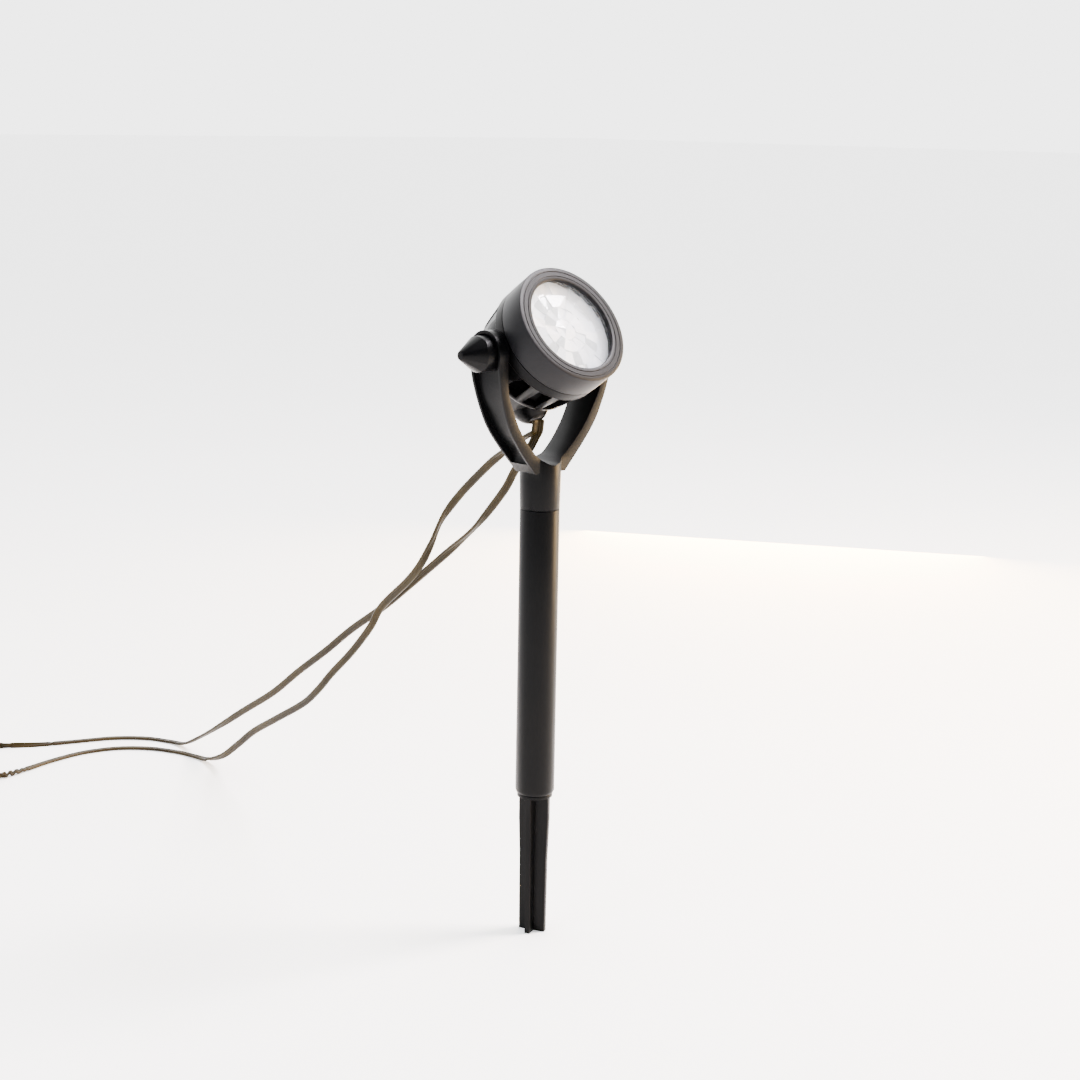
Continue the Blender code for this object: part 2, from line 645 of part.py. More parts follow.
def cord_entry(head):
    """The grommet in the ball's mouth, the clip inside and the first stretch of each cord."""
    grommet = cylinder("cord_grommet", 5.3 * MM, -GROMMET_FACE, -29.3 * MM, axis="Y", sides=20,
                       centre=(0, 0, -CORD_BACK))
    finish(grommet, RUBBER, head)
    clip = box("cord_clip", in_mm([(-6.5, -20, -32)])[0], in_mm([(6.5, -15, -24)])[0], rounded=0.5 * MM)
    finish(clip, WHITE_PLASTIC, head)
    for name, sign in (("supply", -1), ("link", 1)):
        across = sign * CORD_SPACING / 2
        hole = cylinder(name + "_clip_hole", CORD_RADIUS + 0.2 * MM, -30 * MM, -5 * MM, axis="Y", sides=20,
                        centre=(across, 0, -CORD_BACK))
        boolean(clip, as_cutter(hole, head))
        across_mm = across / MM
        lead = in_mm([(across_mm, 3.9, -43.9), (across_mm, 3.5, -44.6), (across_mm, 3.42, -45.8),
                      (across_mm, 3.6, -47.2), (across_mm, 3.85, -48.9), (across_mm, 3.93, -49.8)])
        stub = tube(name + "_cord_lead", lead, CORD_RADIUS, CORD_PVC, head)
        stub.rotation_euler = (math.radians(TILT - 90), 0, 0)
        inner = in_mm([(across_mm, -29.0, -28), (across_mm, -20, -28), (across_mm, -12, -28),
                       (across_mm * 1.3, -6, -26), (across_mm * 1.6, -2, -22), (across_mm * 1.6, -1, -19)])
        tube(name + "_cord_inner", inner, CORD_RADIUS, CORD_PVC, head)


def supply_route():
    """From under the head, back past the left arm, down to the soil and on along it."""
    return in_mm([(-2.15, 3.98, 327.0), (-2.15, 4.1, 325.9), (-2.15, 5.2, 324.7), (-2.15, 7.5, 323.4),
                  (-2.15, 11, 321.5), (-2.1, 14.5, 319.7), (-1.8, 19, 317.4), (-0.6, 27, 313),
                  (1, 37, 306.8), (3, 53, 296),
                  (6, 81, 274), (8, 101, 254), (9, 113, 235), (10, 124, 220), (12, 140, 205),
                  (15, 171, 181), (17, 186, 163), (20, 210, 140), (22, 236, 118), (24, 255, 101),
                  (27, 277, 85), (31, 317, 63), (35, 350, 45), (38, 375, 28), (41, 400, 12),
                  (43, 424, 3), (42.5, 441, 2.1), (38.5, 459, 2.1), (27, 482, 2.1), (7, 500, 2.1),
                  (-20, 508, 2.1), (-50, 506, 2.1), (-78, 499.5, 2.1), (-100, 494.5, 2.1)])


def link_route():
    """From under the head, over the saddle, down to the soil behind the supply cord."""
    return in_mm([(2.15, 3.98, 327.0), (2.15, 4.15, 325.8), (2.15, 4.9, 324.5), (2.15, 6.4, 322.3),
                  (2.15, 8.4, 319.2), (2.2, 10.9, 315.4), (2.3, 13.9, 311.6), (2.7, 18, 307.2),
                  (3.4, 22.5, 302.6), (4.6, 29, 295.6), (6, 38, 284), (8, 55, 267), (9, 69, 254),
                  (12, 91, 238), (14, 116, 220), (17, 142, 202), (21, 176, 179), (26, 219, 153),
                  (29, 251, 131), (33, 290, 106), (37, 327, 81), (42, 373, 55), (47, 415, 31), (51, 449, 13),
                  (52, 470, 4.2), (50, 487, 2.1), (40, 508, 2.1), (20, 526, 2.1), (-8, 538, 2.1),
                  (-36, 550, 2.1), (-58, 563, 2.1), (-74, 571.5, 2.1)])


def beside_coil(centre, radius, angle, leaving):
    """A point just outside a coil and the slanting way along which the cord joins or leaves."""
    turn = math.radians(angle)
    out = Vector((math.cos(turn), math.sin(turn), 0))
    round_it = Vector((math.sin(turn), -math.cos(turn), 0))
    way = (out if leaving else -out) * 0.5 + round_it * 0.866
    return Vector(centre) + out * (radius + CORD_RADIUS + GAP), way


def coil_parts(name, centre, width, route, tail_length):
    """A coil as one turned ring lying on its tie, with the cord that comes to it and the end
    that goes on to its fitting. Returns where the fitting starts, and its direction."""
    low = TIE_WALL + GAP
    high = low + COIL_HEIGHT
    inner = COIL_RADIUS - width / 2
    outer = COIL_RADIUS + width / 2
    soft = 1.2 * MM
    ring = turned(name + "_coil", [(inner, high - soft), (inner + soft, high), (outer - soft, high),
                                   (outer, high - soft), (outer, low + soft), (outer - soft, low),
                                   (inner + soft, low), (inner, low + soft)], steps=32, ring=True)
    ring.location = centre
    finish(ring, CORD_PVC)
    band = box(name + "_tie", (inner - GAP - TIE_WALL, -2 * MM, 0),
               (outer + GAP + TIE_WALL, 2 * MM, high + GAP + TIE_WALL))
    hole = box(name + "_tie_hole", (inner - GAP, -4 * MM, TIE_WALL), (outer + GAP, 4 * MM, high + GAP))
    boolean(band, as_cutter(hole))
    for thing in (band, hole):
        thing.location = centre
        thing.rotation_euler = (0, 0, math.radians(TIE_TURN))
    finish(band, TIE_PVC)
    joint, way = beside_coil(centre, outer, JOIN_TURN, False)
    joint.z = (low + high) / 2
    lift = Vector((0, 0, 1 * MM))
    route = [*route, tuple(joint - way * 10 * MM - lift), tuple(joint)]
    tube(name + "_cord", route, CORD_RADIUS, CORD_PVC)
    start, way = beside_coil(centre, outer, LEAVE_TURN, True)
    start.z = (low + high) / 2
    end = start + way * tail_length
    end.z = ENTRY_HEIGHT
    tube(name + "_cord_end", [start, start.lerp(end, 0.35) - lift, start.lerp(end, 0.7), end],
         CORD_RADIUS, CORD_PVC)
    place = end + way * GAP
    return (place.x, place.y, 0), math.degrees(math.atan2(way.y, way.x))


def supply_plug(place, angle):
    """A two-blade plug lying on its side; it points along its own +X."""
    turn = (0, 0, math.radians(angle))
    body = box("supply_plug", in_mm([(0, -8, 0)])[0], in_mm([(24, 8, 12.5)])[0], rounded=2.5 * MM)
    body.location = place
    body.rotation_euler = turn
    for index, side in enumerate((-1, 1)):
        middle = side * 5.4
        blade = box(f"plug_blade_{index + 1}", in_mm([(17, middle - 0.75, 3.1)])[0],
                    in_mm([(41, middle + 0.75, 9.4)])[0])
        slot = box(f"blade_slot_{index + 1}", in_mm([(16.6, middle - 1.05, 2.8)])[0],
                   in_mm([(45, middle + 1.05, 9.7)])[0])
        for thing in (blade, slot):
            thing.location = place
            thing.rotation_euler = turn
        boolean(body, as_cutter(slot))
        finish(blade, BRASS)
    finish(body, RUBBER)


def link_socket(place, angle):
    """The connector that the next light plugs into, with two blade slots."""
    body = box("link_socket", in_mm([(0, -9, 0)])[0], in_mm([(28, 9, 13)])[0], rounded=2.5 * MM)
    body.location = place
    body.rotation_euler = (0, 0, math.radians(angle))
    for index, side in enumerate((-1, 1)):
        middle = side * 5.4
        slot = box(f"socket_slot_{index + 1}", in_mm([(10, middle - 1.1, 3.0)])[0],
                   in_mm([(40, middle + 1.1, 10.0)])[0])
        slot.location = place
        slot.rotation_euler = (0, 0, math.radians(angle))
        boolean(body, as_cutter(slot))
    finish(body, RUBBER)


def cords():
    place, angle = coil_parts("supply", SUPPLY_COIL, 15 * MM, supply_route(), 32 * MM)
    supply_plug(place, angle)
    place, angle = coil_parts("link", LINK_COIL, 9 * MM, link_route(), 28 * MM)
    link_socket(place, angle)


ground_spike()
stake_tube()
fork()
knob("left", -1)
knob("right", 1)
HEAD = head_frame()
front_bezel(HEAD)
window_stack(HEAD)
pattern_wheel(HEAD)
light_engine(HEAD)
driver(HEAD)
rear_housing(HEAD)
pivot_nut(HEAD, "left", -1)
pivot_nut(HEAD, "right", 1)
cord_entry(HEAD)
cords()
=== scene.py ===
import json
import math

import bpy
from mathutils import Matrix, Vector


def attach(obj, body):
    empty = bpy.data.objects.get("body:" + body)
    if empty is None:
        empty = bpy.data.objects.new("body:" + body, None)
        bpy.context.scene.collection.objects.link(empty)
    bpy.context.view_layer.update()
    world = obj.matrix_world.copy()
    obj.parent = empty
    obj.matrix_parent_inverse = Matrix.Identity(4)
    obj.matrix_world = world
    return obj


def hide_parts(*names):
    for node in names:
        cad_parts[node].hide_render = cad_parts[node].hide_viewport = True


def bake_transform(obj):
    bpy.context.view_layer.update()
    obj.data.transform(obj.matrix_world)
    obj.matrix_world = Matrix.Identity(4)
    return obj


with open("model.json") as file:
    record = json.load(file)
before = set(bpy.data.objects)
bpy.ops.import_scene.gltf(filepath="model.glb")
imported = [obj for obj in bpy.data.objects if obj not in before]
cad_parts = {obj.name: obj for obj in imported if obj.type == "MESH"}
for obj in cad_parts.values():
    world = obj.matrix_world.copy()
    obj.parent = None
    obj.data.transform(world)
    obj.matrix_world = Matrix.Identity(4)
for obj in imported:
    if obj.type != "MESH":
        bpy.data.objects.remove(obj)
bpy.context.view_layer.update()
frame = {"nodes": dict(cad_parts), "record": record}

mm = 0.001
pivotHeight = 377.2 * mm
headTilt = 34.3  # degrees that the lamp looks above the horizon
headTurn = Matrix.Translation((0, 0, pivotHeight)) @ Matrix.Rotation(math.radians(90 - headTilt), 4, "X")


def selectOnly(thing):
    bpy.ops.object.select_all(action="DESELECT")
    thing.select_set(True)
    bpy.context.view_layer.objects.active = thing


def applyModifiers(thing):
    selectOnly(thing)
    for modifier in list(thing.modifiers):
        bpy.ops.object.modifier_apply(modifier=modifier.name)


cameraSettings = {"place": (-0.87941, -0.90685, 0.51886), "azimuth": -44.12, "down": 11.69,
                  "roll": 1.04, "fieldOfView": 29.25, "shift": 0.0007}


def makeCamera(settings):
    bpy.ops.object.camera_add(location=settings["place"])
    camera = bpy.context.active_object
    camera.name = "camera"
    level = Matrix.Rotation(math.radians(settings["azimuth"]), 3, "Z") @ Matrix.Rotation(math.pi / 2, 3, "X")
    aim = level @ Matrix.Rotation(math.radians(-settings["down"]), 3, "X")
    aim = aim @ Matrix.Rotation(math.radians(settings["roll"]), 3, "Z")
    camera.rotation_euler = aim.to_euler()
    camera.data.angle = math.radians(settings["fieldOfView"])
    camera.data.shift_x = settings["shift"]
    camera.data.clip_start = 0.01
    bpy.context.scene.camera = camera


makeCamera(cameraSettings)
print("camera set")


def newMaterial(name, colour, roughness, metallic=0.0):
    made = bpy.data.materials.new(name)
    made.use_nodes = True
    shader = made.node_tree.nodes["Principled BSDF"]
    shader.inputs["Base Color"].default_value = (*colour, 1)
    shader.inputs["Roughness"].default_value = roughness
    shader.inputs["Metallic"].default_value = metallic
    return made, made.node_tree, shader


def objectNoise(tree, scale, detail=3.0, stretch=(1, 1, 1)):
    place = tree.nodes.new("ShaderNodeTexCoord")
    mapping = tree.nodes.new("ShaderNodeMapping")
    mapping.inputs["Scale"].default_value = stretch
    noise = tree.nodes.new("ShaderNodeTexNoise")
    noise.inputs["Scale"].default_value = scale
    noise.inputs["Detail"].default_value = detail
    tree.links.new(place.outputs["Object"], mapping.inputs["Vector"])
    tree.links.new(mapping.outputs["Vector"], noise.inputs["Vector"])
    return noise.outputs["Fac"]


def colourFrom(tree, shader, value, dark, light, low=0.35, high=0.65):
    ramp = tree.nodes.new("ShaderNodeValToRGB")
    ramp.color_ramp.elements[0].position = low
    ramp.color_ramp.elements[1].position = high
    ramp.color_ramp.elements[0].color = (*dark, 1)
    ramp.color_ramp.elements[1].color = (*light, 1)
    tree.links.new(value, ramp.inputs["Fac"])
    tree.links.new(ramp.outputs["Color"], shader.inputs["Base Color"])


def roughnessFrom(tree, shader, value, low, high):
    spread = tree.nodes.new("ShaderNodeMapRange")
    spread.inputs["To Min"].default_value = low
    spread.inputs["To Max"].default_value = high
    tree.links.new(value, spread.inputs["Value"])
    tree.links.new(spread.outputs["Result"], shader.inputs["Roughness"])


def bumpFrom(tree, shader, value, strength, distance):
    bump = tree.nodes.new("ShaderNodeBump")
    bump.inputs["Strength"].default_value = strength
    bump.inputs["Distance"].default_value = distance
    tree.links.new(value, bump.inputs["Height"])
    tree.links.new(bump.outputs["Normal"], shader.inputs["Normal"])


def mouldedPlastic(name, dark, light, rough=(0.38, 0.55), grain=2600, depth=0.00012, gloss=0.5):
    made, tree, shader = newMaterial(name, dark, rough[0])
    shader.inputs["Specular IOR Level"].default_value = gloss
    colourFrom(tree, shader, objectNoise(tree, 26), dark, light)
    roughnessFrom(tree, shader, objectNoise(tree, 60, 5), *rough)
    bumpFrom(tree, shader, objectNoise(tree, grain, 2), 0.25, depth)
    return made


def brushedMetal(name, colour, rough):
    made, tree, shader = newMaterial(name, colour, rough, 1.0)
    dark = tuple(c * 0.85 for c in colour)
    colourFrom(tree, shader, objectNoise(tree, 400, 2, (1, 1, 8)), dark, colour)
    roughnessFrom(tree, shader, objectNoise(tree, 900, 2, (1, 1, 8)), rough, rough + 0.15)
    return made


bodyPlastic = mouldedPlastic("moulded_black", (0.0012, 0.0012, 0.0014), (0.0019, 0.0018, 0.0018),
                             (0.27, 0.38), gloss=0.055)
bezelPlastic = mouldedPlastic("bezel_black", (0.004, 0.0037, 0.0043), (0.0055, 0.0051, 0.0058),
                              (0.34, 0.46), gloss=0.1)
softRubber = mouldedPlastic("soft_rubber", (0.003, 0.0028, 0.0025), (0.006, 0.0055, 0.005),
                            (0.5, 0.65), 1800, gloss=0.1)
cordJacket = mouldedPlastic("cord_jacket", (0.014, 0.009, 0.0022), (0.027, 0.018, 0.005),
                            (0.34, 0.46), 1500, gloss=0.09)
tiePlastic = mouldedPlastic("tie_plastic", (0.003, 0.003, 0.003), (0.006, 0.006, 0.006), (0.35, 0.5), 900,
                            gloss=0.1)
whiteMoulding = mouldedPlastic("white_moulding", (0.74, 0.75, 0.76), (0.84, 0.84, 0.84), (0.25, 0.4), 1500)
steelFinish = brushedMetal("steel_finish", (0.56, 0.56, 0.57), 0.28)
brassFinish = brushedMetal("brass_finish", (0.72, 0.53, 0.24), 0.28)
aluminiumFinish = brushedMetal("aluminium_finish", (0.74, 0.75, 0.77), 0.35)
boardLaminate = mouldedPlastic("board_laminate", (0.02, 0.14, 0.05), (0.03, 0.2, 0.08), (0.3, 0.45), 700)


def clearWindow():
    made, tree, shader = newMaterial("clear_window", (0.96, 0.97, 0.98), 0.03)
    shader.inputs["Alpha"].default_value = 0.14
    shader.inputs["IOR"].default_value = 1.49
    roughnessFrom(tree, shader, objectNoise(tree, 40, 4), 0.02, 0.07)
    return made


def lensGlowGlintMaterial():
    made, tree, shader = newMaterial("lens_facets", (0.86, 0.88, 0.9), 0.08)
    shader.inputs["Coat Weight"].default_value = 0.4
    # painted glow: a little near-white emission makes the lens look bright, though it is no lamp
    shader.inputs["Emission Color"].default_value = (0.94, 0.96, 1.0, 1)
    shader.inputs["Emission Strength"].default_value = 0.35
    glint = tree.nodes.new("ShaderNodeAttribute")
    glint.attribute_name = "facet"
    ramp = tree.nodes.new("ShaderNodeValToRGB")
    # painted glints: each facet's tone, from near black to white, stands for the light the clear facet throws
    # back
    glintTones = [(0.0, (0.2, 0.24, 0.28)), (0.3, (0.5, 0.55, 0.62)), (0.55, (0.76, 0.8, 0.88)),
             (0.8, (0.95, 0.93, 0.96)), (1.0, (0.99, 0.99, 1.0))]
    stops = ramp.color_ramp.elements
    for index, (position, colour) in enumerate(glintTones):
        stop = stops[index] if index < 2 else stops.new(position)
        stop.position = position
        stop.color = (*colour, 1)
    tree.links.new(glint.outputs["Fac"], ramp.inputs["Fac"])
    tree.links.new(ramp.outputs["Color"], shader.inputs["Base Color"])
    roughnessFrom(tree, shader, objectNoise(tree, 120, 3), 0.05, 0.2)
    return made


windowClear = clearWindow()
lensGlowGlints = lensGlowGlintMaterial()

slotFinishes = {"black_plastic": bodyPlastic, "bezel_plastic": bezelPlastic, "clear_plastic": windowClear,
                "facet_plastic": lensGlowGlints, "rubber": softRubber, "steel": steelFinish, "brass": brassFinish,
                "aluminium": aluminiumFinish, "board_green": boardLaminate,
                "white_plastic": whiteMoulding, "cord_pvc": cordJacket, "tie_pvc": tiePlastic}
nodeSlots = {part["node"]: part["material_slot"] for part in frame["record"]["subparts"]}


def setFinish(thing, finish):
    thing.data.materials.clear()
    thing.data.materials.append(finish)


for nodeName, node in frame["nodes"].items():
    setFinish(node, slotFinishes[nodeSlots[nodeName]])
print("finishes made")

# both cords are flat; their routes run in millimetres from the head's mouth to their coils
cordSettings = {"width": 5.3 * mm, "thick": 2.3 * mm, "step": 2.2 * mm, "turnGap": 2.5 * mm,
                "coilHeight": 4.1 * mm, "overCoil": 8.2 * mm, "lobeArc": 110, "lobePoints": 7,
                "middleRib": ((0.28 * mm, 0.95 * mm), (0.62 * mm, 0.66 * mm)), "edgeLean": 0.36}
supplyRoute = [(-2.15, 3.5, 332.6), (-2.15, 3.4, 331.4), (-2.15, 3.6, 330.0), (-2.15, 3.85, 328.3),
               (-2.15, 3.98, 327.0), (-2.15, 4.1, 325.9), (-2.15, 5.2, 324.7), (-2.15, 7.5, 323.4),
               (-2.15, 11, 321.5), (-2.1, 14.5, 319.7), (-1.8, 19, 317.4), (-0.6, 27, 313),
               (1, 37, 306.8), (3, 53, 296), (6, 81, 274), (8, 101, 254), (9, 113, 235), (10, 124, 220),
               (12, 140, 205), (15, 171, 181), (17, 186, 163), (20, 210, 140), (22, 236, 118),
               (24, 255, 101), (27, 277, 85), (31, 317, 63), (35, 350, 45), (38, 375, 28), (41, 400, 12),
               (43, 424, 3), (42.5, 441, 1.4), (38.5, 459, 1.3), (27, 482, 1.3), (7, 500, 1.3),
               (-20, 508, 1.3), (-50, 506, 1.3), (-78, 499.5, 1.6), (-100, 494.5, 2.8)]
linkRoute = [(2.15, 3.5, 332.6), (2.15, 3.4, 331.4), (2.15, 3.6, 330.0), (2.15, 3.85, 328.3),
             (2.15, 3.98, 327.0), (2.15, 4.15, 325.8), (2.15, 4.9, 324.5), (2.15, 6.4, 322.3),
             (2.15, 8.4, 319.2), (2.2, 10.9, 315.4), (2.3, 13.9, 311.6), (2.7, 18, 307.2),
             (3.4, 22.5, 302.6), (4.6, 29, 295.6), (6, 38, 284), (8, 55, 267), (9, 69, 254),
             (12, 91, 238), (14, 116, 220), (17, 142, 202), (21, 176, 179), (26, 219, 153),
             (29, 251, 131), (33, 290, 106), (37, 327, 81), (42, 373, 55), (47, 415, 31), (51, 449, 13),
             (52, 470, 3.4), (50, 487, 1.4), (40, 508, 1.3), (20, 526, 1.3), (-8, 538, 1.3),
             (-36, 550, 1.3), (-58, 563, 1.8), (-74, 571.5, 3.0)]
supplyCoil = {"centre": (-141 * mm, 526 * mm), "outer": 34.2 * mm, "turns": 5, "tail": 32 * mm}
linkCoil = {"centre": (-108 * mm, 605 * mm), "outer": 31.2 * mm, "turns": 2, "tail": 28 * mm}
coilSettings = {"joinAngle": -60, "leaveAngle": -160, "crossingStart": -92,  # degrees, going clockwise
                "margin": 3.5 * mm,  # how far outside the outer turn the cord joins and leaves
                "settleAngle": 60, "settlePower": 1.5, "angleStep": 15, "crossingSteps": 6, "liftRate": 3.2,
                "outShare": 0.5, "onShare": 0.866,  # the tail's way, outwards and onwards
                "tailHeights": ((0.3, 7.9 * mm), (0.6, 7.0 * mm), (1.0, 6.2 * mm))}


def roundCentre(centre, angle, radius, height):
    turn = math.radians(angle)
    return centre + Vector((math.cos(turn) * radius, math.sin(turn) * radius, height))


def coilPoints(coil):
    centre = Vector((*coil["centre"], 0))
    outer = coil["outer"]
    low, high = cordSettings["coilHeight"], cordSettings["overCoil"]
    wholeTurns = 360 * coil["turns"]
    settle, step = coilSettings["settleAngle"], coilSettings["angleStep"]
    points = []
    angle = coilSettings["joinAngle"]
    while angle >= coilSettings["crossingStart"] - wholeTurns:
        gone = coilSettings["joinAngle"] - angle
        radius = outer - cordSettings["turnGap"] * max(gone - settle, 0) / 360
        radius += coilSettings["margin"] * max(0, 1 - gone / settle) ** coilSettings["settlePower"]
        points.append(roundCentre(centre, angle, radius, low))
        angle -= step
    inner = radius
    lastAngle = angle + step
    span = lastAngle - (coilSettings["leaveAngle"] - wholeTurns)
    for k in range(1, coilSettings["crossingSteps"] + 1):  # out over the turns
        t = k / coilSettings["crossingSteps"]
        ease = t * t * (3 - 2 * t)
        radius = inner + (outer + coilSettings["margin"] - inner) * ease
        height = low + (high - low) * min(1, t * coilSettings["liftRate"])
        points.append(roundCentre(centre, lastAngle - span * t, radius, height))
    turn = math.radians(lastAngle - span)
    out = Vector((math.cos(turn), math.sin(turn), 0))
    onwards = Vector((math.sin(turn), -math.cos(turn), 0))
    way = out * coilSettings["outShare"] + onwards * coilSettings["onShare"]
    start = points[-1]
    for t, height in coilSettings["tailHeights"]:
        place = start + way * coil["tail"] * t
        points.append(Vector((place.x, place.y, height)))
    return points


def smoothPath(points, step):
    ends = [points[0] * 2 - points[1], *points, points[-1] * 2 - points[-2]]
    dense = []
    for i in range(1, len(ends) - 2):
        a, b, c, d = ends[i - 1:i + 3]
        pieces = max(2, round((c - b).length / step))
        for k in range(pieces):
            t = k / pieces
            dense.append(0.5 * (2 * b + (c - a) * t + (2 * a - 5 * b + 4 * c - d) * t * t
                                + (3 * b - a - 3 * c + d) * t ** 3))
    return [*dense, points[-1]]


def flatSection():
    half = cordSettings["width"] / 2
    lobe = cordSettings["thick"] / 2
    arc = cordSettings["lobeArc"]
    last = cordSettings["lobePoints"] - 1
    side = []
    for k in range(cordSettings["lobePoints"]):  # right lobe, from its top round to its bottom
        turn = math.radians(arc - 2 * arc * k / last)
        side.append((half - lobe + lobe * math.cos(turn), lobe * math.sin(turn)))
    rib = cordSettings["middleRib"]
    top = [*[(-x, y) for x, y in reversed(rib)], *rib]
    left = [(-x, -y) for x, y in side]
    bottom = [(-x, -y) for x, y in top]
    return [*top, *side, *bottom, *left]


towardsFront = Vector((-0.68, -0.7, 0.2))
upwards = Vector((0, 0, 1))


def wideSide(mode, tangent):  # the way the flat cord's wide side runs
    if mode == "facing":
        return tangent.cross(towardsFront).normalized()
    if mode == "edge":  # turned most of the way to its edge
        across = tangent.cross(towardsFront).normalized()
        along = (towardsFront - tangent * towardsFront.dot(tangent)).normalized()
        return (across * cordSettings["edgeLean"] + along).normalized()
    if mode == "lying":
        return tangent.cross(upwards).normalized()
    return (upwards - tangent * tangent.z).normalized()  # standing on its edge


def wideDirection(stops, t, tangent):
    for (t0, mode0), (t1, mode1) in zip(stops, stops[1:]):
        if t <= t1:
            first = wideSide(mode0, tangent)
            second = wideSide(mode1, tangent)
            if first.dot(second) < 0:
                second = -second
            share = (t - t0) / (t1 - t0)
            return first.lerp(second, share * share * (3 - 2 * share))
    return wideSide(stops[-1][1], tangent)


def makeCord(name, route, coil, stops):
    controls = [Vector(p) * mm for p in route]
    line = smoothPath([*controls, *coilPoints(coil)], cordSettings["step"])
    section = flatSection()
    verts = []
    lengths = [0.0]
    for p, q in zip(line, line[1:]):
        lengths.append(lengths[-1] + (q - p).length)
    total = lengths[-1]
    previous = None
    for i, point in enumerate(line):
        tangent = (line[min(i + 1, len(line) - 1)] - line[max(i - 1, 0)]).normalized()
        wide = wideDirection(stops, lengths[i] / total, tangent)
        wide = (wide - tangent * wide.dot(tangent)).normalized()
        if previous is not None and wide.dot(previous) < 0:
            wide = -wide
        previous = wide
        thin = tangent.cross(wide)
        for x, y in section:
            verts.append(point + wide * x + thin * y)
    count = len(section)
    faces = []
    for i in range(len(line) - 1):
        for k in range(count):
            a = i * count + k
            b = i * count + (k + 1) % count
            faces.append((a, b, b + count, a + count))
    faces.append(tuple(range(count)))
    faces.append(tuple(range((len(line) - 1) * count, len(line) * count)))
    mesh = bpy.data.meshes.new(name)
    mesh.from_pydata(verts, [], faces)
    cord = bpy.data.objects.new(name, mesh)
    bpy.context.scene.collection.objects.link(cord)
    selectOnly(cord)
    bpy.ops.object.mode_set(mode="EDIT")
    bpy.ops.mesh.select_all(action="SELECT")
    bpy.ops.mesh.normals_make_consistent(inside=False)
    bpy.ops.object.mode_set(mode="OBJECT")
    bpy.ops.object.shade_smooth_by_angle(angle=math.radians(50))
    setFinish(cord, cordJacket)
    return cord, line, total


# how each cord is turned, by the share of its length
supplyStops = [(0, "edge"), (0.018, "edge"), (0.035, "facing"), (0.06, "facing"), (0.078, "edge"),
               (0.1, "facing"), (0.27, "facing"), (0.33, "lying"), (0.4, "lying"), (0.45, "standing"),
               (0.93, "standing"), (0.955, "lying"), (1, "lying")]
linkStops = [(0, "facing"), (0.06, "facing"), (0.09, "edge"), (0.13, "facing"), (0.38, "facing"),
             (0.45, "lying"), (0.55, "lying"), (0.64, "standing"), (0.89, "standing"), (0.93, "lying"),
             (1, "lying")]
supplyCord, supplyLine, supplyLength = makeCord("supply_flat_cord", supplyRoute, supplyCoil, supplyStops)
linkCord, linkLine, linkLength = makeCord("link_flat_cord", linkRoute, linkCoil, linkStops)
print("cords laid", round(supplyLength, 3), round(linkLength, 3))

# copies of the moulded nodes with rounded edges: width and segments of each rounding
softEdges = {"fork": (0.35 * mm, 3), "rear_housing": (0.25 * mm, 2), "left_knob": (0.12 * mm, 2),
             "right_knob": (0.12 * mm, 2), "ground_spike": (0.3 * mm, 2), "stake_tube": (0.2 * mm, 2),
             "cord_grommet": (0.4 * mm, 2), "supply_tie": (0.3 * mm, 2), "link_tie": (0.3 * mm, 2),
             "supply_plug": (0.3 * mm, 2), "link_socket": (0.3 * mm, 2)}
shellSettings = {"merge": 0.002 * mm, "flatAngle": 0.6, "edgeAngle": 32, "knobEdgeAngle": 14,
                 "smoothAngle": 28, "knobSmoothAngle": 13}
bodyOf = {}
for bodyName, members in frame["record"]["behaviour"]["bodies"].items():
    for member in members:
        bodyOf[member] = bodyName


def softenedCopy(nodeName, width, segments):
    source = frame["nodes"][nodeName]
    piece = source.copy()
    piece.data = source.data.copy()
    piece.name = nodeName + "_shell"
    piece.parent = None
    for key in list(piece.keys()):
        del piece[key]
    bpy.context.scene.collection.objects.link(piece)
    selectOnly(piece)
    bpy.ops.object.mode_set(mode="EDIT")
    bpy.ops.mesh.select_all(action="SELECT")
    bpy.ops.mesh.remove_doubles(threshold=shellSettings["merge"])
    bpy.ops.mesh.customdata_custom_splitnormals_clear()
    bpy.ops.mesh.dissolve_limited(angle_limit=math.radians(shellSettings["flatAngle"]))
    bpy.ops.object.mode_set(mode="OBJECT")
    bevel = piece.modifiers.new("soft", "BEVEL")
    bevel.width = width
    bevel.segments = segments
    bevel.limit_method = "ANGLE"
    isKnob = nodeName.endswith("_knob")  # its flats are shallow
    bevel.angle_limit = math.radians(shellSettings["knobEdgeAngle" if isKnob else "edgeAngle"])
    applyModifiers(piece)
    smooth = shellSettings["knobSmoothAngle" if isKnob else "smoothAngle"]
    bpy.ops.object.shade_smooth_by_angle(angle=math.radians(smooth))
    setFinish(piece, slotFinishes[nodeSlots[nodeName]])
    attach(piece, bodyOf[nodeName])
    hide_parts(nodeName)
    return piece


shells = {name: softenedCopy(name, *edge) for name, edge in softEdges.items()}
print("moulded pieces softened")


